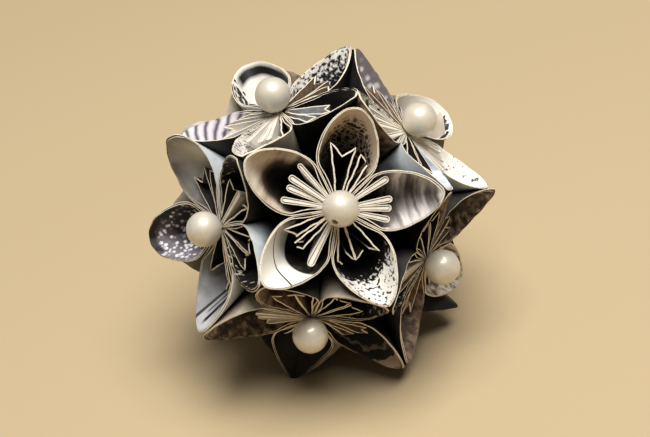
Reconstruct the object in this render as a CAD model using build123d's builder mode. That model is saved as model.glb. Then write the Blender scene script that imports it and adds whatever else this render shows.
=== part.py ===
from build123d import *
from math import acos, asin, atan, atan2, cos, degrees, hypot, pi, radians, sin, sqrt, tan
import os

# A ball of twelve paper flowers, each with a round bead at its middle.
# A flower is five petals, and a petal is one square sheet folded into a cup, whose
# point is the middle of the sheet. All sixty points meet at the middle of the ball.

# Driving sizes in millimetres and degrees
sheet_side = 55.0
paper = 0.2
glue_line = 0.1
closed_height = 9.0
fold_radius = 0.85
free_fin_turn = 22.0
bead_size = 8.0
bead_bore = 1.4
bead_lip = 0.25
bead_lean = 59.0
bead_turns = (160.0, 300.0, 75.0, 212.0, 70.0, 215.0, 130.0, 155.0, 15.0, 317.5, 345.0, 135.0)

# How many of each, and how finely a curl is divided
petals_round = 5
curl_strips = 4
fold_strips = 3

# The sheet, from its middle to the middle of a side, and the corner wedge beside it
seam_length = sheet_side / 2
sheet_wedge = pi / 4
wall = 2 * paper

# The ball: flower axes point to the corners of an icosahedron, whose edges each
# take twice edge_half, and a petal fills the kite between its axis and its neighbours
golden = (1 + sqrt(5)) / 2
edge_half = atan(1 / golden)
petal_half = pi / petals_round

# The curl is a round cone that touches both seam walls and both neighbouring flowers
curl_lean = atan(sin(edge_half) / (cos(edge_half) * cos(petal_half) + sin(petal_half)))
curl_half = asin(sin(curl_lean) * sin(petal_half))
seam_wedge = acos(cos(curl_lean) / cos(curl_half))
curl_start = acos(tan(curl_half) / tan(curl_lean))
half_cup = seam_wedge + (pi - curl_start) * sin(curl_half)
curl_axis = Vector(sin(curl_lean), 0, cos(curl_lean))
toward_seam = Vector(-cos(curl_lean), 0, sin(curl_lean))
across = Vector(0, 1, 0)
glue_gap = curl_axis * (glue_line / 2 / sin(curl_half))

# Inside, the wall keeps its thickness, and up to closed_height the layers lie solid
inner_point = curl_axis * (wall / sin(curl_half))


def curl_line(turn):
    """Direction from the sheet's middle up the wall, at a turn round the curl."""
    radial = toward_seam * cos(turn) + across * sin(turn)
    return curl_axis * cos(curl_half) + radial * sin(curl_half)


def curl_inward(turn):
    """Direction through the wall to its inside, at a turn round the curl."""
    radial = toward_seam * cos(turn) + across * sin(turn)
    return curl_axis * sin(curl_half) - radial * cos(curl_half)


def rim_reach(turn):
    """Distance from the sheet's middle to its straight edge along a curl line."""
    wedge = seam_wedge + (turn - curl_start) * sin(curl_half)
    return seam_length / cos(wedge * sheet_wedge / half_cup)


def mirrored(point):
    return Vector(point.X, -point.Y, point.Z)


def panel(*corners):
    return Face(Wire.make_polygon(corners, close=True))


# Half of the rim, from the seam across the flat seam wall and round the curl to the tip
outer_rim = [Vector(0, 0, seam_length)]
inner_rim = [Vector(inner_point.X, 0, seam_length)]
wall_lines = [Vector(0, 0, 1)]
for strip in range(curl_strips + 1):
    turn = curl_start + (pi - curl_start) * strip / curl_strips
    rim_point = curl_line(turn) * rim_reach(turn)
    outer_rim.append(rim_point)
    inner_rim.append(rim_point + curl_inward(turn) * wall)
    wall_lines.append(curl_line(turn))
inner_floor = []
for line in wall_lines:
    rise = (closed_height - inner_point.length) / line.dot(curl_axis)
    inner_floor.append(inner_point + line * rise)

# Paper bends only along lines through the sheet's middle, so the wall is strips
# between such lines, each flat, with a thin edge face along the rim
floor_corners = inner_floor + [mirrored(point) for point in inner_floor[-2:0:-1]]
cup_faces = [panel(*floor_corners)]
for a in range(len(outer_rim) - 1):
    b = a + 1
    strip_faces = [
        (Vector(0, 0, 0), outer_rim[a], outer_rim[b]),
        (inner_floor[a], inner_floor[b], inner_rim[b], inner_rim[a]),
        (outer_rim[a], inner_rim[a], inner_rim[b]),
        (outer_rim[a], inner_rim[b], outer_rim[b]),
    ]
    for corners in strip_faces:
        cup_faces.append(panel(*corners))
        cup_faces.append(panel(*[mirrored(point) for point in corners]))

# A fin is a narrow fold of the sheet inside the cup, open at its top. Its crease lies
# half a wedge from the seam, where its two legs meet. The middle two are glued together.
crease_angle = sheet_wedge / 2
crease_reach = seam_length * tan(crease_angle)
fold_centre = crease_reach - fold_radius
leg_angle = asin(fold_radius / fold_centre)
fin_hollow_x = paper / sin(leg_angle)
fin_hollow_z = (fin_hollow_x * cos(crease_angle) - paper) / sin(crease_angle)
fin_foot = (closed_height - inner_point.length) * cos(curl_lean)
glued_fin_turn = degrees(leg_angle)
seam_sink = inner_point.X / 2


def fin_section(scale):
    """The fin's outline at its top, scaled about the seam."""
    with BuildLine() as outline:
        arc_points = []
        for step in range(fold_strips + 1):
            arc_angle = (pi / 2 + leg_angle) * (2 * step / fold_strips - 1)
            arc_x = fold_centre + fold_radius * cos(arc_angle)
            arc_points.append((arc_x * scale, fold_radius * sin(arc_angle) * scale))
        Polyline((0, 0), *arc_points, close=True)
    return outline.line


with BuildPart() as fin:
    with BuildSketch(Plane.XY.offset(seam_length)) as fin_top:
        add(fin_section(1))
        make_face()
    loft(sections=[fin_top.sketch.face(), Vertex(0, 0, 0)], ruled=True)
    hollow_top = seam_length + fin_hollow_z
    with BuildSketch(Plane((fin_hollow_x, 0, hollow_top), x_dir=(1, 0, 0))) as hollow:
        add(fin_section(1))
        make_face()
    hollow_point = Vertex(fin_hollow_x, 0, fin_hollow_z)
    loft(sections=[hollow.sketch.face(), hollow_point], ruled=True, mode=Mode.SUBTRACT)
    split(bisect_by=Plane.XY.offset(fin_foot), keep=Keep.TOP)

# One folded sheet: the cup with its fins, set back from its neighbours by the glue line
with BuildPart() as petal:
    with Locations(glue_gap):
        add(Solid(Shell(cup_faces)))
    for fin_turn in (-free_fin_turn, -glued_fin_turn, glued_fin_turn, free_fin_turn):
        with Locations(Location(glue_gap + Vector(seam_sink, 0, 0), (0, 0, fin_turn))):
            add(fin.part)

with BuildPart() as flower:
    with PolarLocations(0, petals_round):
        add(petal.part)

# A drilled bead with softened lips round its bore
with BuildPart() as bead:
    Sphere(radius=bead_size / 2)
    Cylinder(radius=bead_bore / 2, height=bead_size, mode=Mode.SUBTRACT)
    fillet(bead.edges().filter_by(GeomType.CIRCLE), radius=bead_lip)

# The ball stands on one bead, and leans from that flower's axis towards the next
# flower until the rims of the two petals between them touch the ground too
bead_reach = seam_length + glue_gap.Z + glue_line + bead_size / 2
stand_lean = pi / 2
for rim_point in outer_rim + inner_rim:
    stand_x = (rim_point.X + glue_gap.X) * cos(petal_half) + rim_point.Y * sin(petal_half)
    stand_z = rim_point.Z + glue_gap.Z - bead_reach
    if hypot(stand_x, stand_z) > bead_size / 2:
        rim_lean = asin(bead_size / 2 / hypot(stand_x, stand_z)) - atan2(stand_z, stand_x)
        stand_lean = min(stand_lean, rim_lean)
ball_height = bead_reach * cos(stand_lean) + bead_size / 2
ball_turn = -degrees(pi / 2 - edge_half + stand_lean)

# Flower axes at the icosahedron's corners, turned so that the ball rests on the ground
axes = [Vector(1, 0, 0), Vector(0, 1, 0), Vector(0, 0, 1)]
flower_planes = []
for short_axis in range(3):
    long_axis = (short_axis + 1) % 3
    for long_sign in (-1, 1):
        for short_sign in (1, -1):
            side = axes[short_axis] * short_sign
            out = side + axes[long_axis] * (golden * long_sign)
            out = out.rotate(Axis.Y, ball_turn)
            side = side.rotate(Axis.Y, ball_turn)
            petal_out = side - out * (side.dot(out) / out.dot(out))
            flower_planes.append(Plane((0, 0, ball_height), x_dir=petal_out, z_dir=out))

os.makedirs("parts", exist_ok=True)
for index, plane in enumerate(flower_planes):
    number = f"{index + 1:02d}"
    with BuildPart() as placed_flower:
        with Locations(plane):
            add(flower.part)
    placed_flower.part.label = "flower_" + number
    export_step(placed_flower.part, f"parts/flower_{number}.step")

    lean = radians(bead_lean)
    turn = radians(bead_turns[index])
    bore = Vector(sin(lean) * cos(turn), sin(lean) * sin(turn), cos(lean))
    with BuildPart() as placed_bead:
        with Locations(plane):
            with Locations(Plane((0, 0, bead_reach), z_dir=bore)):
                add(bead.part)
    placed_bead.part.label = "bead_" + number
    export_step(placed_bead.part, f"parts/bead_{number}.step")
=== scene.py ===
import math
import random

import bpy
import numpy as np
from mathutils import Matrix, Vector


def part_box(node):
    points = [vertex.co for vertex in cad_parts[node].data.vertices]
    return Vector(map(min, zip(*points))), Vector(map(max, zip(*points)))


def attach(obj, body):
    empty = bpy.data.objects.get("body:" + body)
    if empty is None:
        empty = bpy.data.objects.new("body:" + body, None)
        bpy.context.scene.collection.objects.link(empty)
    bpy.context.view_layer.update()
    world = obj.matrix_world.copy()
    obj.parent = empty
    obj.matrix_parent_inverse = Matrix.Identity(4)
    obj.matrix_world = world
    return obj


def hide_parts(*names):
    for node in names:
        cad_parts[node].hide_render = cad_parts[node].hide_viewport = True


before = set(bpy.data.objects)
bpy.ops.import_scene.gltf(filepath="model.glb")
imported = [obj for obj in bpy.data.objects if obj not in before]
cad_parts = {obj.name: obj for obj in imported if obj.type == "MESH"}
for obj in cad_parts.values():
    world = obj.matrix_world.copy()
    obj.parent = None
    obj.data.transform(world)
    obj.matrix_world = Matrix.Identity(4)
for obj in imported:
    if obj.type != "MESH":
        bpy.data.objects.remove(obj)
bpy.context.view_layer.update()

# The paper is worked out in millimetres, and the scene is in metres
MM = 0.001

# How many of each
FLOWERS = 12
PETALS = 5

# The folded sheet
PAPER = 0.2
GLUE_LINE = 0.1
LAYER_GAP = 0.03
PETAL_HALF = math.pi / PETALS
SHEET_WEDGE = math.pi / 4

# Rows of points from deep in the ball up to the sheet's edge, as shares of the full length
WALL_ROWS = np.array([0.015, 0.32, 0.5, 0.64, 0.75, 0.84, 0.91, 0.96, 0.985, 1.0])
FOLD_ROWS = np.array([0.3, 0.55, 0.75, 0.88, 0.96, 1.0])

# The flowers stand at an icosahedron's corners: the cosine between two neighbours
NEIGHBOUR_COSINE = 1 / math.sqrt(5)
COSINE_TOLERANCE = 0.05

# A petal's material slots, in the order that add_petal fills them
OUTSIDE, INSIDE, RIBBON, CUT_EDGE, FINGER = range(5)


# The ball's middle and its twelve flowers, read from the beads
def bead_middle(number):
    low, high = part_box(f"bead_{number:02d}")
    return np.array((low + high) / 2) / MM


bead_middles = {n: bead_middle(n) for n in range(1, FLOWERS + 1)}
ball_middle = sum(bead_middles.values()) / FLOWERS
bead_reach = np.mean([np.linalg.norm(m - ball_middle) for m in bead_middles.values()])
bead_low, bead_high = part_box("bead_01")
bead_radius = max(bead_high - bead_low) / 2 / MM
flower_out = {n: (m - ball_middle) / bead_reach for n, m in bead_middles.items()}

# The petal's cone touches its neighbours, which sets the glue line's shift and the sheet's size
edge_half = math.acos(NEIGHBOUR_COSINE) / 2
curl_lean = math.atan(
    math.sin(edge_half) / (math.cos(edge_half) * math.cos(PETAL_HALF) + math.sin(PETAL_HALF))
)
curl_half = math.asin(math.sin(curl_lean) * math.sin(PETAL_HALF))
curl_axis = np.array([math.sin(curl_lean), 0, math.cos(curl_lean)])
glue_shift = curl_axis * (GLUE_LINE / 2 / math.sin(curl_half))
seam_length = bead_reach - bead_radius - GLUE_LINE - glue_shift[2]


def unit(vectors):
    return vectors / np.linalg.norm(vectors, axis=-1, keepdims=True)


def direction(heading):
    """A direction in a plane, from its heading in radians."""
    return np.array([math.cos(heading), math.sin(heading)])


def side_of(vector, axis):
    """The unit vector at right angles to an axis, on the side of another vector."""
    return unit(vector - axis * (vector @ axis))


def ring_of(number):
    """The five flowers round a flower, counterclockwise from the lowest number."""
    out = flower_out[number]
    ring = [n for n, other in flower_out.items() if abs(other @ out - NEIGHBOUR_COSINE) < COSINE_TOLERANCE]
    x = side_of(flower_out[min(ring)], out)
    y = np.cross(out, x)
    # The first bearing is zero, and the nudge keeps rounding from making it a full turn
    nudge = 1e-6
    bearing = {n: math.atan2(flower_out[n] @ y, flower_out[n] @ x) + nudge for n in ring}
    return sorted(ring, key=lambda n: bearing[n] % (2 * math.pi))


def petal_frame(number, petal):
    """Rows are the petal's x (towards its tip), y and z (the flower's axis)."""
    out, ring = flower_out[number], ring_of(number)
    tip = out + flower_out[ring[petal - 1]] + flower_out[ring[petal % PETALS]]
    x = side_of(tip, out)
    return np.array([x, np.cross(out, x), out])


def new_object(name, data):
    thing = bpy.data.objects.new(name, data)
    bpy.context.scene.collection.objects.link(thing)
    return thing


class FoldedSheet:
    """Gathers the strips of one folded sheet into a mesh, with three attributes for its print:
    sheet is the place on the flat sheet in millimetres, place is (turn, depth, reach), and spot
    is the place in the petal's frame. turn goes from -1 at one seam over 0 at the tip to 1 at
    the other, depth is measured down from the rim and reach from the sheet's middle."""

    FLOOR_CLEARANCE = 0.03
    SHARP_ANGLE = math.radians(50)

    def __init__(self):
        self.points = []
        self.faces = []
        self.slots = []
        self.sheet = []
        self.place = []
        self.count = 0

    def add_points(self, grid, sheet, place):
        start = self.count
        self.points.append(grid.reshape(-1, 3))
        self.sheet.append(sheet.reshape(-1, 2))
        self.place.append(place.reshape(-1, 3))
        self.count += grid.shape[0] * grid.shape[1]
        return np.arange(start, self.count).reshape(grid.shape[:2])

    def add_quads(self, a, b, c, d, slot):
        quads = np.stack([a, b, c, d], -1).reshape(-1, 4)
        self.faces.append(quads)
        self.slots.append(np.full(len(quads), slot))

    def strip(self, grid, thickness, sheet, place, front, back):
        """A strip of paper round a grid of points (along, up), with cut edges on all sides."""
        along = np.gradient(grid, axis=0)
        up = np.gradient(grid, axis=1)
        offset = unit(np.cross(along, up)) * thickness / 2
        f = self.add_points(grid + offset, sheet, place)
        b = self.add_points(grid - offset, sheet, place)
        self.add_quads(f[:-1, :-1], f[1:, :-1], f[1:, 1:], f[:-1, 1:], front)
        self.add_quads(b[:-1, :-1], b[:-1, 1:], b[1:, 1:], b[1:, :-1], back)
        self.add_quads(f[:-1, -1], f[1:, -1], b[1:, -1], b[:-1, -1], CUT_EDGE)
        self.add_quads(f[1:, 0], f[:-1, 0], b[:-1, 0], b[1:, 0], CUT_EDGE)
        self.add_quads(f[0, :-1], f[0, 1:], b[0, 1:], b[0, :-1], CUT_EDGE)
        self.add_quads(f[-1, 1:], f[-1, :-1], b[-1, :-1], b[-1, 1:], CUT_EDGE)

    def slab(self, grid, sheet, place, slot):
        """A closed solid between the two halves of a loop of points (along, up)."""
        i = self.add_points(grid, sheet, place)
        half = grid.shape[0] // 2
        left, right = i[:half], i[::-1][:half]
        self.add_quads(i[:-1, :-1], i[1:, :-1], i[1:, 1:], i[:-1, 1:], slot)
        self.add_quads(left[:-1, -1], left[1:, -1], right[1:, -1], right[:-1, -1], slot)
        self.add_quads(left[1:, 0], left[:-1, 0], right[:-1, 0], right[1:, 0], slot)
        self.add_quads(i[-1, :-1], i[0, :-1], i[0, 1:], i[-1, 1:], slot)

    def mesh(self, name, axes, materials):
        spot = np.concatenate(self.points)
        points = (spot + glue_shift) @ axes + ball_middle
        points[:, 2] = np.maximum(points[:, 2], self.FLOOR_CLEARANCE)
        mesh = bpy.data.meshes.new(name)
        mesh.from_pydata((points * MM).tolist(), [], np.concatenate(self.faces).tolist())
        for material in materials:
            mesh.materials.append(material)
        mesh.polygons.foreach_set("material_index", np.concatenate(self.slots).astype(np.int32))
        flat = np.concatenate(self.sheet)
        sheet = np.column_stack([flat, np.zeros(len(flat))])
        place = np.concatenate(self.place)
        for key, values in (("sheet", sheet), ("place", place), ("spot", spot)):
            attribute = mesh.attributes.new(key, "FLOAT_VECTOR", "POINT")
            attribute.data.foreach_set("vector", values.astype(np.float32).ravel())
        mesh.polygons.foreach_set("use_smooth", np.ones(len(mesh.polygons), bool))
        mesh.set_sharp_from_angle(angle=self.SHARP_ANGLE)
        return mesh


# Hand-folded paper is never quite straight: the waves' heights, and how fast each one runs
RIM_WAVE_HEIGHT = (0.03, 0.08)
RIM_WAVES = (5, 11, 23, 41, 67)
RIBBON_WAVE_HEIGHT = (0.02, 0.08)
RIBBON_WAVES = (0.45, 1.1, 2.3)
LAST_PHASE = 6.3


def waviness(run, waves, height, chance):
    """A sum of waves along a run, of random heights and phases."""
    return sum(chance.uniform(*height) * np.sin(run * k + chance.uniform(0, LAST_PHASE)) for k in waves)


# The petal's wall: its steps, how much of the sheet's wedge stays flat beside the seam, and how
# far along that flat part the first point is, as shares
SEAM_STEPS = 6
CURL_STEPS = 30
SEAM_SHARE = 0.42
FIRST_STEP = 0.03

# The wall's two layers part beside the seams and, less, at one random turn: where, how widely
# along the turn, and how much
PARTED_TURN = 0.7
PARTED_WIDTH = 0.14
GAPE_WIDTH = 0.12
GAPE_SHARE = 0.4


def half_wall(look, side):
    """One half of the wall, from the seam to the tip, in the plane one unit up the axis."""
    seam = direction(PETAL_HALF)
    start = seam * math.tan(SHEET_WEDGE * SEAM_SHARE)
    tip = np.array([look["tip"], 0])
    point = math.radians(look["point"])
    ahead = start + seam * look["belly"]
    back = tip + np.array([-math.cos(point), math.sin(point)]) * look["shoulder"]
    t = np.linspace(0, 1, CURL_STEPS + 1)[:, None]
    curl = (1 - t) ** 3 * start + 3 * t * (1 - t) ** 2 * ahead + 3 * t**2 * (1 - t) * back + t**3 * tip
    straight = np.linspace(FIRST_STEP, 1, SEAM_STEPS + 1)[:-1, None] * start
    path = np.concatenate([straight, curl])
    path[:, 1] *= side
    path[:, 1] += look["skew"] * (path[:, 0] / look["tip"]) ** 3
    return path


def wall_rays(path):
    """Directions from the sheet's middle through the points of a path."""
    return unit(np.column_stack([path, np.ones(len(path))]))


def wall_angles(path):
    """Angle along the wall from the seam line, scaled so that the tip is the sheet's corner."""
    rays = wall_rays(path)
    steps = np.arccos(np.clip((rays[1:] * rays[:-1]).sum(1), -1, 1))
    first = math.atan(np.hypot(*path[0]))
    angles = np.concatenate([[first], first + np.cumsum(steps)])
    return angles * SHEET_WEDGE / angles[-1]


def rim_reach(angle, look, chance):
    """Distance from the sheet's middle to its straight edges, with the corner between them worn
    round."""
    worn = math.radians(look["worn"])
    seam_end = math.hypot(SHEET_WEDGE, worn)
    share = (seam_end - np.hypot(angle, worn)) / (seam_end - worn)
    corner = math.acos(math.cos(SHEET_WEDGE) / look["reach"])
    return seam_length / np.cos(corner * share) + waviness(angle, RIM_WAVES, RIM_WAVE_HEIGHT, chance)


def layers_parted(turn, look):
    """How far the two layers of the wall part, where the glue doesn't reach."""
    beside_seams = np.exp(-(((np.abs(turn) - PARTED_TURN) / PARTED_WIDTH) ** 2))
    gape = np.exp(-(((turn - look["gape"]) / GAPE_WIDTH) ** 2))
    return look["parted"] * (beside_seams + GAPE_SHARE * gape) * WALL_ROWS**6


def add_wall(sheet, look, chance):
    """The cup: two layers of paper, which are the two opposite halves of the sheet."""
    right, left = half_wall(look, -1), half_wall(look, 1)
    path = np.concatenate([right, left[::-1][1:]])
    angle = np.concatenate([wall_angles(right) - SHEET_WEDGE, SHEET_WEDGE - wall_angles(left)[::-1][1:]])
    rim = rim_reach(angle, look, chance)[:, None]
    reach = rim * WALL_ROWS
    outer = wall_rays(path)[:, None] * reach[..., None]
    normal = unit(np.cross(np.gradient(outer, axis=0), outer))
    turn = np.broadcast_to((angle / SHEET_WEDGE)[:, None], reach.shape)
    place = np.stack([turn, rim - reach, reach], -1)
    for layer in (0, 1):
        inward = (0.5 + layer) * PAPER + layer * (LAYER_GAP + layers_parted(turn, look))
        grid = outer - normal * inward[..., None]
        grid *= (1 - layer * look["step"] * WALL_ROWS**8)[:, None]
        heading = (angle + layer * math.pi)[:, None]
        flat = np.stack([reach * np.cos(heading), reach * np.sin(heading)], -1)
        sheet.strip(grid, PAPER, flat + look["seed"], place, OUTSIDE, INSIDE)


# The folds inside a petal. A finger is closed and has a rounded end: its root's place, and its
# width there as a share. The layers inside it are set in and lower, and bevelled at their top.
FINGER_LEG_STEPS = 5
FINGER_CAP_STEPS = 9
FINGER_ROOT = 1.2
FINGER_ROOT_SHARE = 0.42
FINGER_RISE = (0.99, 1.01)
CORE_INSET = PAPER * 1.35
CORE_DROP = 0.006
CORE_BEVEL = 0.12

# A ribbon is an open fold, and its last third dips a little
RIBBON_PAPER = PAPER * 1.7
RIBBON_STEP = 0.9
RIBBON_LEAST_STEPS = 3
RIBBON_DIP = 0.03


def fold_grid(line, levels):
    """Rows of points over a line that is given at the seam's height, at shares of that height."""
    levels = np.broadcast_to(levels, (len(line), len(FOLD_ROWS)))
    grid = np.empty((*levels.shape, 3))
    grid[..., :2] = line[:, None] * levels[..., None]
    grid[..., 2] = levels * seam_length
    return grid


def fold_place(line, look):
    """The attributes sheet and place of a fold over a line. In place of a turn they hold its
    distance from the axis, as a share of the seam."""
    reach = np.broadcast_to(FOLD_ROWS * seam_length, (len(line), len(FOLD_ROWS)))
    along = np.broadcast_to(np.hypot(line[:, 0], line[:, 1])[:, None], reach.shape)
    place = np.stack([along / seam_length, seam_length - reach, reach], -1)
    return np.stack([reach, along + look["seed"]], -1), place


def add_finger(sheet, look, chance, angle, length, width):
    """A closed fold with a rounded end: one loop of paper, and the layers folded into it."""
    levels = FOLD_ROWS * chance.uniform(*FINGER_RISE)
    x_axis = direction(math.radians(angle))
    y_axis = np.array([-x_axis[1], x_axis[0]])
    half = width / 2
    end = length - half
    leg = np.linspace(FINGER_ROOT, end, FINGER_LEG_STEPS + 1)
    leg_half = half * np.linspace(FINGER_ROOT_SHARE, 1, FINGER_LEG_STEPS + 1)
    cap = np.linspace(-math.pi / 2, math.pi / 2, FINGER_CAP_STEPS + 1)[1:-1]
    along = np.concatenate([leg, end + half * np.cos(cap), leg[::-1]])
    across = np.concatenate([-leg_half, half * np.sin(cap), leg_half[::-1]])
    loop = np.outer(along, x_axis) + np.outer(across, y_axis)
    sheet.strip(fold_grid(loop, levels), PAPER, *fold_place(loop, look), FINGER, FINGER)

    core_along = along - CORE_INSET * (along > end)
    core = np.outer(core_along, x_axis) + np.outer(across * (1 - CORE_INSET / half), y_axis)
    core_levels = levels * (1 - CORE_DROP)
    grid = fold_grid(core, core_levels)
    middle = np.outer(along, x_axis) * core_levels[-1]
    grid[:, -1, :2] += (middle - grid[:, -1, :2]) * CORE_BEVEL
    sheet.slab(grid, *fold_place(core, look), FINGER)


def add_ribbon(sheet, look, chance, *corners):
    """An open fold: a strip of paper through corners given as (angle, length)."""
    points = [direction(math.radians(angle)) * length for angle, length in corners]
    line = [points[0]]
    for start, end in zip(points[:-1], points[1:]):
        steps = max(RIBBON_LEAST_STEPS, int(np.linalg.norm(end - start) / RIBBON_STEP))
        line += [start + (end - start) * k / steps for k in range(1, steps + 1)]
    line = np.array(line)
    ahead = unit(np.gradient(line, axis=0))
    sideways = np.column_stack([-ahead[:, 1], ahead[:, 0]])
    run = np.arange(len(line)) * RIBBON_STEP
    line += sideways * waviness(run, RIBBON_WAVES, RIBBON_WAVE_HEIGHT, chance)[:, None]
    dip = RIBBON_DIP * np.clip(np.linspace(-2, 1, len(line)), 0, 1)
    levels = FOLD_ROWS * (look["ribbon_top"] - dip)[:, None]
    sheet.strip(fold_grid(line, levels), RIBBON_PAPER, *fold_place(line, look), RIBBON, RIBBON)


# Shader nodes
FIBRE_HEIGHT = 0.00008
FIBRE_SCALE = 5.0
PAPER_SPECULAR = 0.35
LINE_FADE = 1 / 8


def to_light(value):
    """A value from 0 to 255 in a picture, as light."""
    share = value / 255
    return share / 12.92 if share <= 0.04045 else ((share + 0.055) / 1.055) ** 2.4


def linear(*colour):
    return tuple(to_light(value) for value in colour)


class Shader:
    """Short ways to add and join the nodes of one material."""

    def __init__(self, name):
        self.material = bpy.data.materials.new(name)
        self.material.use_nodes = True
        self.tree = self.material.node_tree
        self.bsdf = self.tree.nodes["Principled BSDF"]

    def add(self, kind, inputs=(), **settings):
        node = self.tree.nodes.new("ShaderNode" + kind)
        for key, value in settings.items():
            setattr(node, key, value)
        for key, value in dict(inputs).items():
            self.join(value, node.inputs[key])
        return node

    def join(self, value, socket):
        if isinstance(value, bpy.types.NodeSocket):
            self.tree.links.new(value, socket)
        elif isinstance(value, tuple) and socket.type == "RGBA":
            socket.default_value = (*value, 1)
        else:
            socket.default_value = value

    def surface(self, inputs):
        """The finished material, with its surface's inputs given by name."""
        for key, value in inputs.items():
            self.join(value, self.bsdf.inputs[key])
        return self.material

    def math(self, operation, a, b=0.0, clamp=False):
        return self.add("Math", {0: a, 1: b}, operation=operation, use_clamp=clamp).outputs[0]

    def distance(self, a, b):
        return self.math("ABSOLUTE", self.math("SUBTRACT", a, b))

    def spread(self, value, low, high, to_low=0.0, to_high=1.0, smooth=False):
        kind = "SMOOTHSTEP" if smooth else "LINEAR"
        inputs = {"Value": value, "From Min": low, "From Max": high, "To Min": to_low, "To Max": to_high}
        return self.add("MapRange", inputs, interpolation_type=kind, clamp=True).outputs[0]

    def mix(self, share, a, b):
        """A mix of two colours: a Mix node takes colours at 6 and 7, and gives one at 2."""
        return self.add("Mix", {0: share, 6: a, 7: b}, data_type="RGBA").outputs[2]

    def ramp(self, value, stops):
        node = self.add("ValToRGB", {"Fac": value})
        elements = node.color_ramp.elements
        while len(elements) < len(stops):
            elements.new(0.5)
        for element, (position, colour) in zip(elements, stops):
            element.position = position
            element.color = (*linear(*colour), 1)
        return node.outputs[0]

    def noise(self, vector, scale=1.0, detail=3.0, output=0):
        """Noise as a value about 0 to 1, or another output of its node."""
        return self.add("TexNoise", {"Vector": vector, "Scale": scale, "Detail": detail}).outputs[output]

    def sheet(self, scale=1.0, stretch=(1, 1), angle=0.0, warp=0.0, warp_scale=0.3, source="sheet"):
        """The place on the flat sheet, or another attribute, bent a little by noise."""
        place = self.add("Attribute", attribute_name=source).outputs["Vector"]
        if warp:
            bend = self.noise(place, warp_scale, 2.0, "Color")
            bend = self.add("VectorMath", {0: bend, 1: (0.5, 0.5, 0.5)}, operation="SUBTRACT").outputs[0]
            bend = self.add("VectorMath", {0: bend, "Scale": warp}, operation="SCALE").outputs[0]
            place = self.add("VectorMath", {0: place, 1: bend}, operation="ADD").outputs[0]
        scales = (scale * stretch[0], scale * stretch[1], 0)
        return self.add("Mapping", {"Vector": place, "Rotation": (0, 0, angle), "Scale": scales}).outputs[0]

    def place(self):
        """turn, depth and reach on the petal."""
        vector = self.add("Attribute", attribute_name="place").outputs["Vector"]
        return self.add("SeparateXYZ", {0: vector}).outputs

    def flat(self):
        """The place on the flat sheet, along its diagonal to the tip and across it."""
        turned, _, reach = self.place()
        angle = self.math("MULTIPLY", turned, SHEET_WEDGE)
        return [self.math("MULTIPLY", reach, self.math(part, angle)) for part in ("COSINE", "SINE")]

    def from_point(self, along, across):
        """Distance on the flat sheet from a point, given along its diagonal and across it."""
        gaps = [self.distance(value, start) for value, start in zip(self.flat(), (along, across))]
        return self.math("SQRT", self.math("ADD", *[self.math("POWER", gap, 2.0) for gap in gaps]))

    def line(self, measure, run, middle, width, softness, start, end):
        """1 on a line where a measure is about its middle, which fades at both ends of its run."""
        share = self.spread(self.distance(measure, middle), width / 2, width / 2 + softness, 1.0, 0.0)
        fade = (end - start) * LINE_FADE
        past_start = self.spread(run, start, start + fade)
        before_end = self.spread(run, end - fade, end, 1.0, 0.0)
        return self.math("MULTIPLY", share, self.math("MULTIPLY", past_start, before_end))

    def paper(self, colour, roughness=0.55, bump=0.12):
        """Paper: the print's colour, with a faint grain of fibres."""
        grain = self.noise(self.sheet(), FIBRE_SCALE, 4.0)
        lumps = self.add("Bump", {"Height": grain, "Strength": bump, "Distance": FIBRE_HEIGHT}).outputs[0]
        return self.surface({
            "Base Color": colour,
            "Roughness": roughness,
            "Specular IOR Level": PAPER_SPECULAR,
            "Normal": lumps,
        })


# How the patterns are drawn
LINE_GAIN = 6.0
SCRIBBLE_GAIN = 2.2
SCRIBBLE_SHIFT = (31, 17, 0)
SCRIBBLE_TURN = (0, 0, 1.1)
DISC_BLUR = (0.15, 0.6)
BAR_DISTORTION = 1.5
MORTAR = 0.03


def texture(shader, kind, vector, detail):
    """One of the patterns that a print is made from, as a value about 0 to 1."""
    if kind == "noise":
        return shader.noise(vector, detail=detail)
    if kind == "lines":
        near = shader.distance(shader.noise(vector, detail=detail), 0.5)
        return shader.math("MULTIPLY", near, LINE_GAIN, clamp=True)
    if kind == "scribble":
        moved = {"Vector": vector, "Location": SCRIBBLE_SHIFT, "Rotation": SCRIBBLE_TURN}
        crossed = shader.add("Mapping", moved).outputs[0]
        sets = [texture(shader, "lines", place, detail) for place in (vector, crossed)]
        return shader.math("MULTIPLY", shader.math("MINIMUM", *sets), SCRIBBLE_GAIN, clamp=True)
    if kind == "discs":
        cells = shader.add("TexVoronoi", {"Vector": vector, "Scale": 1.0}, feature="F1")
        lit = shader.add("SeparateXYZ", {0: cells.outputs["Color"]}).outputs[0]
        disc = shader.spread(cells.outputs["Distance"], *DISC_BLUR, 1.0, 0.0, smooth=True)
        return shader.math("SUBTRACT", 1.0, shader.math("MULTIPLY", disc, lit))
    if kind == "bars":
        waves = {"Vector": vector, "Scale": 1.0, "Distortion": BAR_DISTORTION, "Detail": 2.0}
        return shader.add("TexWave", waves).outputs[1]
    bricks = {"Vector": vector, "Scale": 1.0, "Mortar Size": MORTAR}
    colours = {"Color1": (0, 0, 0), "Color2": (1, 1, 1)}
    return shader.add("TexBrick", {**bricks, **colours}).outputs["Color"]


WHITE = (238, 233, 224)
GREY = (150, 148, 148)
FAINT_INK = (130, 126, 122)
INK = (16, 14, 13)

# Each sheet's tone varies a little over its page
TONE_SCALE = 0.16
TONE_RANGE = (0.3, 0.7, 0.82, 1.06)


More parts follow.
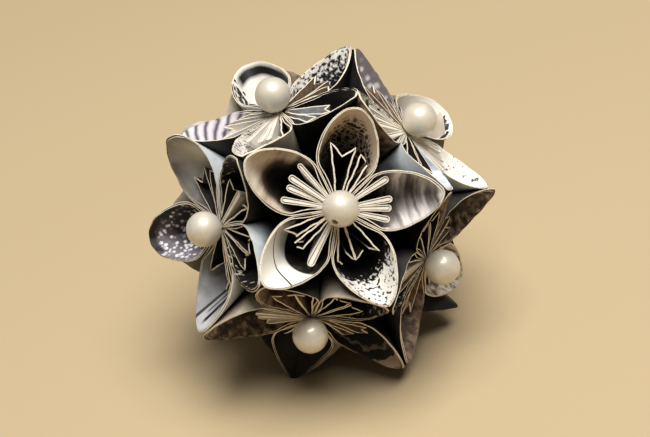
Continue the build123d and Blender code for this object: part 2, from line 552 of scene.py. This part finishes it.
def print_paper(
    name, kind="noise", scale=1.0, stretch=(1, 1), angle=0.0, warp=0.0, detail=3.0, source="sheet",
    edges=(0.45, 0.55), depth=None, turn=None, along=None, stops=((0, WHITE), (1, INK)),
    shade=(7, 19, 0.22), rings=(), rays=(),
):
    """Printed paper. A pattern over the sheet is cut at two edges and coloured by stops. depth,
    turn and along (the way along the sheet's diagonal) raise the pattern first, and each is
    (from, to, raised by at from, raised by at to). shade is painted shade: it darkens the paper
    deep in the ball, as (from depth, to depth, brightness there). rings are dark lines along the
    rim, some printed and some painted shade under a curled rim, and rays are dark lines down
    from it, each (middle, width, softness, start, end)."""
    shader = Shader(name)
    turned, deep, _ = shader.place()
    value = texture(shader, kind, shader.sheet(scale, stretch, angle, warp, source=source), detail)
    for measure, raised in ((deep, depth), (turned, turn), (shader.flat()[0], along)):
        if raised:
            value = shader.math("ADD", value, shader.spread(measure, *raised))
    colour = shader.ramp(shader.spread(value, *edges), stops)
    lines = [(deep, turned, *ring) for ring in rings] + [(turned, deep, *ray) for ray in rays]
    for line in lines:
        colour = shader.mix(shader.line(*line), colour, linear(*INK))
    tone = shader.spread(shader.noise(shader.sheet(TONE_SCALE), detail=2.0), *TONE_RANGE)
    # Painted shade: the paper grows darker deeper in the ball, times the page's random tone
    start, end, darkest = shade
    dark = shader.math("MULTIPLY", tone, shader.spread(deep, start, end, 1.0, darkest))
    return shader.paper(shader.add("VectorMath", {0: colour, "Scale": dark}, operation="SCALE").outputs[0])


# The page with a disc and a ring. Middles are along and across the sheet, and the others run
# from where a change starts to where it ends.
DISC_MIDDLE = (4.6, 18.6)
DISC_EDGE = (28.0, 28.5)
RING_MIDDLE = (46.7, -8.0)
RING_RADIUS = 17.5
RING_LINE = (0.15, 0.27)
DARK_DEPTH = (13, 15)


def ringed_paper():
    """A page with a dark disc and a thin ring round a point near the sheet's corner."""
    shader = Shader("ringed")
    _, deep, _ = shader.place()
    inside = shader.spread(shader.from_point(*DISC_MIDDLE), *DISC_EDGE, 1.0, 0.0)
    inside = shader.math("MAXIMUM", inside, shader.spread(deep, *DARK_DEPTH))
    smoke = shader.spread(shader.noise(shader.sheet(0.35), detail=2.0), 0.35, 0.75)
    dark = shader.ramp(smoke, ((0, INK), (0.5, (26, 24, 21)), (1, (78, 76, 66))))
    colour = shader.mix(inside, linear(*WHITE), dark)
    off_ring = shader.distance(shader.from_point(*RING_MIDDLE), RING_RADIUS)
    return shader.paper(shader.mix(shader.spread(off_ring, *RING_LINE, 1.0, 0.0), colour, linear(*INK)))


def cut_edge():
    """The sheet's cut edge: cream, uneven, with specks where the print runs over."""
    shader = Shader("cut_edge")
    specks = shader.spread(shader.noise(shader.sheet(1.6), detail=4.0), 0.35, 0.72)
    stops = ((0, (232, 222, 203)), (0.7, (218, 206, 184)), (1, (158, 140, 118)))
    return shader.paper(shader.ramp(specks, stops), roughness=0.8, bump=0.3)


paper_kinds = {
    "scribbled": dict(
        kind="scribble", scale=0.5, warp=1.0, detail=1.0, edges=(0.0, 1.0), depth=(1.5, 5.5, -1.1, 0.0),
        stops=((0, (206, 186, 164)), (0.4, (124, 104, 88)), (0.8, (30, 25, 22)), (1, INK)),
        shade=(1, 14, 0.5),
    ),
    # Painted shade: the beige near the rim grows dark brown deeper in the cup, over printed swirls
    "brown_fade": dict(
        scale=0.35, stretch=(1, 0.3), source="spot", edges=(0.35, 1.3), depth=(4, 11, 0.0, 0.7),
        turn=(-0.8, 0.1, 0.4, 0.0),
        stops=((0, (236, 226, 210)), (0.3, (190, 172, 152)), (0.6, (84, 70, 60)), (1, INK)),
    ),
    "ash_streaks": dict(
        scale=0.5, stretch=(1.1, 0.13), angle=-0.2, warp=1.0, source="spot", edges=(0.33, 0.7),
        depth=(0, 7, -0.1, 0.03), turn=(-0.7, 0.8, -0.09, 0.1),
        stops=((0, (230, 224, 218)), (0.4, (172, 166, 162)), (0.75, (98, 90, 86)), (1, (28, 25, 24))),
    ),
    "white_band": dict(
        scale=0.9, edges=(1.0, 1.1), depth=(8.0, 12.0, 0.0, 1.8), rings=((4.6, 0.2, 0.1, -1, 1),),
        stops=((0, WHITE), (0.5, (60, 56, 52)), (1, INK)),
    ),
    "splatter": dict(detail=5.0, edges=(0.5, 0.54), along=(25, 31, 0.3, -0.05)),
    "speckled": dict(
        detail=5.0, edges=(0.47, 0.58), depth=(1, 10, -0.02, 0.2), stops=((0, WHITE), (0.5, GREY), (1, INK)),
    ),
    "squiggles": dict(
        scale=0.75, stretch=(0.7, 1.3), warp=1.0, edges=(0.5, 0.55), depth=(0.6, 1.2, -0.2, 0.0),
        turn=(-0.05, 0.08, 0.08, -0.3), stops=((0, WHITE), (0.4, FAINT_INK), (1, INK)),
    ),
    "faded_marks": dict(
        scale=0.6, stretch=(0.8, 1.2), warp=1.0, edges=(0.48, 0.62), depth=(0, 8, 0.0, 0.1),
        stops=((0, (216, 206, 192)), (0.6, (158, 144, 134)), (1, (104, 92, 86))),
    ),
    "ink_marks": dict(
        scale=0.7, stretch=(1.4, 0.6), warp=1.0, edges=(0.57, 0.63), depth=(1, 9, 0.0, -0.1),
        stops=((0, (14, 12, 11)), (0.5, (96, 88, 78)), (1, (190, 180, 164))),
    ),
    "ink_black": dict(scale=0.5, edges=(0.2, 0.8), stops=((0, (30, 27, 25)), (1, (10, 9, 9)))),
    "marks": dict(
        kind="brick", scale=0.55, stretch=(1.0, 1.6), warp=1.5, edges=(0.55, 0.8),
        stops=((0, WHITE), (0.75, (150, 146, 142)), (1, INK)),
    ),
    "bokeh": dict(
        kind="discs", scale=0.5, warp=1.4, edges=(0.15, 1.0), turn=(-0.8, 0.6, 0.1, -0.45),
        stops=((0, (232, 229, 232)), (0.5, (158, 150, 154)), (1, (92, 82, 80))),
    ),
    "night_dots": dict(
        kind="discs", scale=0.85, warp=0.8, edges=(0.3, 1.0), depth=(4, 10, -0.1, 0.25),
        turn=(-0.2, 0.2, 0.1, -0.28), rings=((0.5, 1.4, 1.2, -0.4, 0.2),),
        stops=((0, (232, 230, 234)), (0.4, (130, 124, 130)), (1, (16, 14, 15))),
    ),
    "bars": dict(
        kind="bars", scale=0.12, angle=-0.3, warp=1.5, edges=(0.15, 1.15),
        stops=((0, (226, 222, 224)), (0.5, (186, 180, 188)), (0.8, (110, 102, 112)), (1, (48, 44, 50))),
    ),
    "grey_shade": dict(
        scale=0.2, edges=(-0.2, 1.3), depth=(2, 12, 0.0, 0.4), turn=(-0.13, -0.11, 0.3, 0.0),
        rays=((-0.12, 0.018, 0.006, -2, 14), (-0.08, 0.004, 0.006, 3, 12), (-0.04, 0.02, 0.006, 1, 14)),
        stops=((0, (240, 240, 240)), (1, (92, 92, 97))), shade=(8, 17, 0.12),
    ),
    "pale_sheet": dict(
        scale=0.4, stretch=(0.3, 1.2), edges=(0.45, 0.8), shade=(5, 14, 0.2),
        stops=((0, (232, 238, 242)), (0.6, (196, 204, 212)), (1, (120, 126, 132))),
    ),
    "banded": dict(
        scale=0.35, edges=(0.4, 2.9), depth=(0, 16, 0.0, 3.2), turn=(-0.25, 0.05, 1.1, 0.0),
        stops=((0, (44, 38, 34)), (0.14, (58, 50, 44)), (0.18, (186, 168, 148)), (0.4, (172, 152, 132)),
               (0.43, (22, 19, 18)), (0.6, INK), (0.66, (120, 108, 98)), (0.72, INK)),
    ),
    # Painted shade: the dark ring just under the rim is the shadow of the rim curling inward
    "dark_top": dict(
        scale=0.7, stretch=(0.7, 1.3), warp=1.0, edges=(0.5, 0.56), turn=(0.1, 0.22, -0.25, 0.05),
        rings=((2.1, 1.6, 1.0, -0.5, 0.2),), shade=(9, 20, 0.3),
        stops=((0, WHITE), (0.4, FAINT_INK), (1, INK)),
    ),
    # Painted shade: darker deeper in the ball, near black in the gaps between the petals
    "pale_blue": dict(
        scale=0.1, edges=(0.3, 0.9), depth=(0, 14, 0.0, 0.4), shade=(4, 13, 0.05),
        stops=((0, (222, 226, 226)), (0.5, (196, 203, 206)), (1, (96, 100, 102))),
    ),
    # Painted shade: darker deeper in the ball, near black in the gaps between the petals
    "grey_fade": dict(
        scale=0.1, edges=(0.3, 1.0), depth=(0, 12, 0.0, 0.5), shade=(3, 11, 0.05),
        stops=((0, (222, 218, 212)), (0.4, (160, 156, 150)), (1, (52, 49, 48))),
    ),
    "grey_top": dict(
        scale=0.1, edges=(0.3, 1.2), depth=(1, 9, 0.6, 0.0), shade=(12, 24, 0.3),
        stops=((0, (246, 250, 252)), (0.5, (192, 192, 190)), (1, (108, 98, 90))),
    ),
    "charcoal": dict(
        scale=0.3, edges=(0.2, 0.8), shade=(4, 12, 0.1), stops=((0, (60, 56, 54)), (1, (20, 18, 18))),
    ),
    "brown_speckle": dict(
        scale=0.6, stretch=(1.3, 0.7), warp=1.5, detail=5.0, edges=(0.32, 0.68), depth=(1, 9, 0.0, 0.18),
        stops=((0, (190, 172, 152)), (0.4, (128, 106, 88)), (0.7, (66, 52, 44)), (1, (30, 24, 22))),
    ),
    "dark_brown": dict(
        scale=0.5, warp=2.0, detail=4.0, edges=(0.3, 0.75), depth=(0, 9, -0.12, 0.2),
        stops=((0, (160, 138, 116)), (0.45, (96, 78, 66)), (1, (20, 16, 15))),
    ),
    # Painted shade: darker deeper in the ball, near black in the gaps between the petals
    "beige_fade": dict(
        scale=0.1, edges=(0.3, 1.0), depth=(0, 13, 0.0, 0.5), shade=(4, 13, 0.05),
        stops=((0, (222, 210, 192)), (0.4, (172, 158, 140)), (1, (58, 52, 46))),
    ),
    "margin": dict(
        scale=0.3, edges=(0.2, 1.0), shade=(3, 12, 0.3), stops=((0, (246, 241, 231)), (1, (222, 214, 201))),
    ),
    "grey_blade": dict(
        scale=0.5, edges=(0.3, 0.8), shade=(5, 15, 0.25), stops=((0, (232, 234, 235)), (1, (172, 176, 180))),
    ),
    "brown_fold": dict(
        scale=0.6, edges=(0.3, 0.8), shade=(3, 12, 0.2), stops=((0, (150, 128, 106)), (1, (70, 54, 42))),
    ),
    "loose_marks": dict(
        scale=0.8, stretch=(1, 0.7), edges=(0.57, 0.63), stops=((0, WHITE), (1, (40, 38, 38))),
    ),
}
papers = {name: print_paper(name, **values) for name, values in paper_kinds.items()}
papers["ringed"] = ringed_paper()
papers["cut_edge"] = cut_edge()


def fingers(*folds):
    """Closed folds, each (angle from the petal's middle in degrees, length, width)."""
    return [(add_finger, fold) for fold in folds]


def ribbons(*folds):
    """Open folds, each a row of corners given as (angle from the petal's middle, length)."""
    return [(add_ribbon, fold) for fold in folds]


FOUR_FINGERS = fingers((-22, 12.0, 1.2), (-5, 12.2, 1.3), (5, 12.0, 1.3), (22, 12.2, 1.2))
HOOKS = ribbons(
    ((-26, 1.5), (-21, 12.4), (-13, 10.6)), ((26, 1.5), (21, 12.2), (13, 10.4)),
    ((-6, 1.5), (-1, 11.8), (-9, 10.2)), ((6, 1.5), (2, 12.2), (10, 10.6)),
)
ZIGZAG = ribbons(
    ((23, 1.5), (16, 14.3), (5, 11.2), (-7, 13.6), (0, 1.5)),
    ((-12, 1.5), (-14, 12.8), (-22, 12.2)), ((-27, 1.5), (-25, 11.6)),
)
ANCHOR = ribbons(
    ((-6, 1.5), (-8, 11.8), (-16, 10.1)), ((-4, 1.5), (-7, 11.8), (5, 10.9)),
    ((-28, 1.5), (-27, 11.5), (-22, 12.4)), ((27, 1.5), (18, 13.0), (12, 11.2)),
)
LOW_HOOKS = ribbons(
    ((-26, 1.5), (-24, 12.7), (-13, 10.9)), ((-13, 1.5), (-12, 11.2)),
    ((-4, 1.5), (-7.5, 12.2), (-2, 10.6)), ((6, 1.5), (3, 11.6), (-2, 12.6)),
)
LONG_HOOKS = ribbons(
    ((29, 1.5), (25, 13.5), (12, 17.6), (3, 19.4)), ((26, 1.5), (20, 13.0), (7, 17.2)),
    ((22, 1.5), (15, 12.6), (5, 14.8)),
)
BLADES = ribbons(
    ((20, 1.5), (13, 12.8), (6, 12.2), (2, 14.2), (-3, 12.4), (-2, 1.5)),
    ((-8, 1.5), (-9, 12.0), (-20, 11.0), (-22, 1.5)),
)

# The petals that the photograph shows, by (flower, petal): the print inside, the one outside,
# the one on the open folds, and the folds
styles = {
    (1, 1): ("splatter", "charcoal", "ink_black", ANCHOR),
    (1, 2): ("ash_streaks", "charcoal", "margin",
             fingers((23, 12.6, 1.35), (2, 11.8, 1.35), (-8, 11.4, 1.3), (-21, 11.4, 1.3))),
    (1, 3): ("scribbled", "ink_black", "ink_black", ZIGZAG),
    (1, 4): ("brown_fade", "ink_black", "margin",
             fingers((-21, 12.7, 1.0), (-6, 12.5, 1.35), (4, 12.1, 1.35), (18, 12.6, 1.3))),
    (1, 5): ("ringed", "ink_black", "ink_black", fingers((18, 13.6, 1.5)) + LOW_HOOKS),
    (2, 1): ("dark_brown", "charcoal", "brown_fold", ANCHOR),
    (2, 2): ("brown_speckle", "beige_fade", "margin", fingers((-7, 12.6, 1.5), (3, 12.4, 1.4)) + HOOKS[:2]),
    (2, 3): ("ink_black", "dark_brown", "ink_black", HOOKS[:2]),
    (2, 4): ("banded", "ink_black", "brown_fold", BLADES),
    (2, 5): ("ink_marks", "beige_fade", "ink_black", HOOKS),
    (3, 4): ("pale_sheet", "beige_fade", "margin", FOUR_FINGERS),
    (5, 3): ("brown_fade", "charcoal", "margin", FOUR_FINGERS),
    (6, 1): ("ink_marks", "charcoal", "brown_fold", FOUR_FINGERS[1:3] + HOOKS[:2]),
    (6, 2): ("dark_brown", "charcoal", "brown_fold", ZIGZAG),
    (6, 3): ("faded_marks", "ink_black", "ink_black", HOOKS),
    (6, 4): ("brown_speckle", "charcoal", "brown_fold", HOOKS),
    (6, 5): ("dark_brown", "ink_black", "ink_black", HOOKS),
    (7, 5): ("margin", "beige_fade", "ink_black", HOOKS),
    (8, 1): ("ink_marks", "charcoal", "ink_black", fingers((-3, 12.4, 1.3)) + HOOKS[:2]),
    (8, 2): ("grey_top", "pale_blue", "charcoal", ZIGZAG),
    (8, 3): ("night_dots", "charcoal", "ink_black", HOOKS),
    (8, 4): ("grey_shade", "pale_blue", "ink_black", LONG_HOOKS + HOOKS[:1]),
    (8, 5): ("ink_marks", "pale_blue", "ink_black", HOOKS),
    (9, 5): ("ink_black", "ink_black", "brown_fold", HOOKS),
    (10, 1): ("dark_brown", "beige_fade", "brown_fold", HOOKS),
    (10, 4): ("dark_brown", "ink_black", "ink_black", HOOKS),
    (10, 5): ("ink_black", "ink_black", "brown_fold", ANCHOR),
    (11, 1): ("ink_black", "ink_black", "grey_blade", BLADES),
    (11, 2): ("speckled", "charcoal", "brown_fold", ZIGZAG),
    (11, 3): ("dark_top", "pale_blue", "ink_black", HOOKS),
    (11, 4): ("bars", "charcoal", "margin", ZIGZAG),
    (11, 5): ("marks", "beige_fade", "ink_black", FOUR_FINGERS[:3] + HOOKS[1:2]),
    (12, 1): ("pale_sheet", "pale_blue", "ink_black", HOOKS),
    (12, 2): ("loose_marks", "pale_blue", "margin", FOUR_FINGERS),
    (12, 3): ("squiggles", "charcoal", "ink_black", HOOKS),
    (12, 4): ("bokeh", "charcoal", "brown_fold", ZIGZAG),
    (12, 5): ("speckled", "dark_brown", "loose_marks", FOUR_FINGERS),
}

# What the other petals are made up from
PRINTS = [
    "ash_streaks", "scribbled", "speckled", "splatter", "squiggles", "ink_black", "marks", "bokeh",
    "bars", "grey_top", "brown_speckle", "loose_marks", "brown_fade", "white_band", "dark_brown",
    "night_dots",
]
OUTSIDES = ["pale_blue", "beige_fade", "grey_fade", "charcoal", "ink_black", "dark_brown"]
FOLDS = [
    (FOUR_FINGERS, "margin"), (HOOKS, "ink_black"), (ZIGZAG, "ink_black"), (ANCHOR, "ink_black"),
    (BLADES, "grey_blade"), (HOOKS, "brown_fold"),
]

# How petals differ by hand, each value drawn between two limits. The first five shape the wall in
# the plane one unit up the axis: tip is the tip's distance from the axis, point the wall's angle
# there from the middle line in degrees, belly and shoulder how far the curve keeps its way past
# the seam and before the tip, and skew how far the tip leans aside. reach is the tip's distance
# from the sheet's middle as a share of the true one, and worn, in degrees, how round it is.
# parted is the width between the layers, gape the turn where they part once more, and step how
# much lower the inner one is. ribbon_top is the open folds' height as a share of the seam, and
# seed the place on the page.
HAND_LIMITS = dict(
    tip=(0.735, 0.75), point=(68, 84), belly=(0.15, 0.21), shoulder=(0.13, 0.16), skew=(-0.012, 0.012),
    reach=(0.97, 1.03), parted=(0.2, 0.65), step=(0.002, 0.012), worn=(3, 9), gape=(-0.5, 0.5),
    ribbon_top=(0.985, 1.005), seed=(50, 950),
)

# The shapes that the photograph shows, by (flower, petal)
shapes = {
    (1, 1): dict(worn=5, point=72, reach=1.0),
    (1, 2): dict(worn=7, point=80, reach=0.99),
    (1, 3): dict(worn=11, point=86, tip=0.735, reach=0.96),
    (1, 4): dict(worn=12, point=88, reach=0.98),
    (1, 5): dict(worn=5, point=84, reach=1.0),
    (2, 1): dict(worn=12, point=84, reach=0.95),
    (2, 2): dict(worn=5, reach=1.04),
    (2, 3): dict(worn=3, point=58, belly=0.27, reach=1.03),
    (2, 4): dict(worn=5, reach=1.04),
    (3, 3): dict(worn=8, reach=0.96),
    (3, 4): dict(worn=8, tip=0.7, skew=0.1, reach=0.91),
    (5, 1): dict(tip=0.66, skew=0.06, reach=0.96),
    (6, 2): dict(worn=6, reach=1.03),
    (6, 4): dict(worn=5, tip=0.69, reach=1.02),
    (7, 4): dict(worn=10, tip=0.7, reach=0.95),
    (7, 5): dict(worn=12, tip=0.7, skew=0.04, reach=0.93),
    (8, 2): dict(worn=12, point=89, tip=0.68, shoulder=0.24, belly=0.22, reach=1.03),
    (8, 3): dict(worn=12, point=84, reach=1.04),
    (8, 4): dict(worn=4, point=80, reach=1.04),
    (10, 4): dict(worn=3, tip=0.62, skew=0.1, reach=1.04),
    (11, 2): dict(worn=5, reach=0.975),
    (11, 3): dict(worn=14, point=88, reach=0.98),
    (11, 4): dict(worn=4, tip=0.69, skew=0.13, reach=0.98),
    (12, 2): dict(worn=5, skew=-0.08, reach=0.98),
    (12, 3): dict(worn=12, point=89, shoulder=0.25, belly=0.23, skew=-0.16, reach=0.99),
    (12, 4): dict(worn=5, reach=0.97),
}


def look_of(number, petal, chance):
    """A petal's shape, prints and folds: made up, but where the photograph shows them."""
    look = {key: chance.uniform(*limits) for key, limits in HAND_LIMITS.items()}
    folds, ribbon = chance.choice(FOLDS)
    made_up = (chance.choice(PRINTS), chance.choice(OUTSIDES), ribbon, folds)
    look["inside"], look["outside"], look["ribbon"], look["folds"] = styles.get((number, petal), made_up)
    look.update(shapes.get((number, petal), {}))
    return look


def add_petal(number, petal):
    """One folded sheet as one piece."""
    chance = random.Random(100 * number + petal)
    look = look_of(number, petal, chance)
    sheet = FoldedSheet()
    add_wall(sheet, look, chance)
    for add_fold, fold in look["folds"]:
        add_fold(sheet, look, chance, *fold)
    kinds = [look["outside"], look["inside"], look["ribbon"], "cut_edge", "margin"]
    name = f"petal_{number:02d}_{petal}"
    mesh = sheet.mesh(name, petal_frame(number, petal), [papers[kind] for kind in kinds])
    piece = new_object(name, mesh)
    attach(piece, "root")
    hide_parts(f"flower_{number:02d}")


for number in range(1, FLOWERS + 1):
    for petal in range(1, PETALS + 1):
        add_petal(number, petal)


# The pearls
CLOUD_SCALE = 260.0
CLOUD_RANGE = (0.3, 0.7)
PEARL_ROUGHNESS = (0.38, 0.5)


def pearl():
    """Pearl lacquer: cream with faint clouds and a glossy coat."""
    shader = Shader("pearl")
    clouds = shader.noise(shader.add("TexCoord").outputs["Object"], CLOUD_SCALE)
    stops = ((0, (208, 197, 176)), (0.5, (218, 209, 190)), (1, (202, 199, 186)))
    lumps = shader.add("Bump", {"Height": clouds, "Strength": 0.05, "Distance": 0.0002})
    return shader.surface({
        "Base Color": shader.ramp(shader.spread(clouds, *CLOUD_RANGE), stops),
        "Roughness": shader.spread(clouds, *CLOUD_RANGE, *PEARL_ROUGHNESS),
        "Metallic": 0.12,
        "Coat Weight": 1.0,
        "Coat Roughness": 0.13,
        "Sheen Weight": 0.15,
        "Normal": lumps.outputs[0],
    })


pearl_material = pearl()
for number in range(1, FLOWERS + 1):
    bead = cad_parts[f"bead_{number:02d}"]
    bead.data.materials.clear()
    bead.data.materials.append(pearl_material)

# The floor
FLOOR_HALF = 3.0
FLOOR_COLOUR = (187, 167, 132)

corners = [(x * FLOOR_HALF, y * FLOOR_HALF, 0) for x, y in ((-1, -1), (1, -1), (1, 1), (-1, 1))]
floor_mesh = bpy.data.meshes.new("floor")
floor_mesh.from_pydata(corners, [], [(0, 1, 2, 3)])
floor_settings = {"Base Color": linear(*FLOOR_COLOUR), "Roughness": 0.7, "Specular IOR Level": 0.2}
floor_mesh.materials.append(Shader("floor").surface(floor_settings))
floor = new_object("floor", floor_mesh)

# Light: one large soft lamp overhead, placed from the ball's middle in metres, and an even fill
LAMP_OFFSET = Vector((0.16, -0.22, 1.2))
LAMP_SIZE = 1.0
LAMP_POWER = 26.5
LAMP_COLOUR = (1.0, 0.98, 0.95)
FILL_COLOUR = (1.0, 0.97, 0.93)
FILL_STRENGTH = 0.08

target = Vector(ball_middle * MM)
lamp = bpy.data.lights.new("overhead", "AREA")
lamp.shape = "DISK"
lamp.size = LAMP_SIZE
lamp.energy = LAMP_POWER
lamp.color = LAMP_COLOUR
overhead = new_object("overhead", lamp)
overhead.location = target + LAMP_OFFSET
overhead.rotation_euler = (target - overhead.location).to_track_quat("-Z", "Y").to_euler()

world = bpy.data.worlds.new("fill")
world.use_nodes = True
background = world.node_tree.nodes["Background"]
background.inputs["Color"].default_value = (*FILL_COLOUR, 1)
background.inputs["Strength"].default_value = FILL_STRENGTH
bpy.context.scene.world = world
bpy.context.scene.view_settings.view_transform = "Standard"

# The camera, at the photograph's viewing angle. Its distance and sensor are in millimetres, and
# its focal length and the place of the ball's middle are in the photograph's pixels.
PHOTO_WIDTH = 650
PHOTO_HEIGHT = 437
CAMERA_AZIMUTH = math.radians(3.8)
CAMERA_ELEVATION = math.radians(30.8)
CAMERA_ROLL = math.radians(-10.0)
CAMERA_DISTANCE = 422.0
CAMERA_CLIP_START = 0.01
FOCAL_PIXELS = 1832.0
MIDDLE_PIXEL = (322.4, 209.6)
SENSOR = 36.0

camera_data = bpy.data.cameras.new("camera")
camera_data.sensor_width = SENSOR
camera_data.lens = FOCAL_PIXELS / PHOTO_WIDTH * SENSOR
camera_data.shift_x = (PHOTO_WIDTH / 2 - MIDDLE_PIXEL[0]) / PHOTO_WIDTH
camera_data.shift_y = (MIDDLE_PIXEL[1] - PHOTO_HEIGHT / 2) / PHOTO_WIDTH
camera_data.clip_start = CAMERA_CLIP_START
camera = new_object("camera", camera_data)
back = Vector((
    math.sin(CAMERA_AZIMUTH) * math.cos(CAMERA_ELEVATION),
    -math.cos(CAMERA_AZIMUTH) * math.cos(CAMERA_ELEVATION),
    math.sin(CAMERA_ELEVATION),
))
right = Vector((math.cos(CAMERA_AZIMUTH), math.sin(CAMERA_AZIMUTH), 0))
up = back.cross(right)
camera_right = right * math.cos(CAMERA_ROLL) + up * math.sin(CAMERA_ROLL)
camera_up = up * math.cos(CAMERA_ROLL) - right * math.sin(CAMERA_ROLL)
camera_axes = Matrix((camera_right, camera_up, back)).transposed()
camera_place = target + back * CAMERA_DISTANCE * MM
camera.matrix_world = Matrix.Translation(camera_place) @ camera_axes.to_4x4()
bpy.context.scene.camera = camera
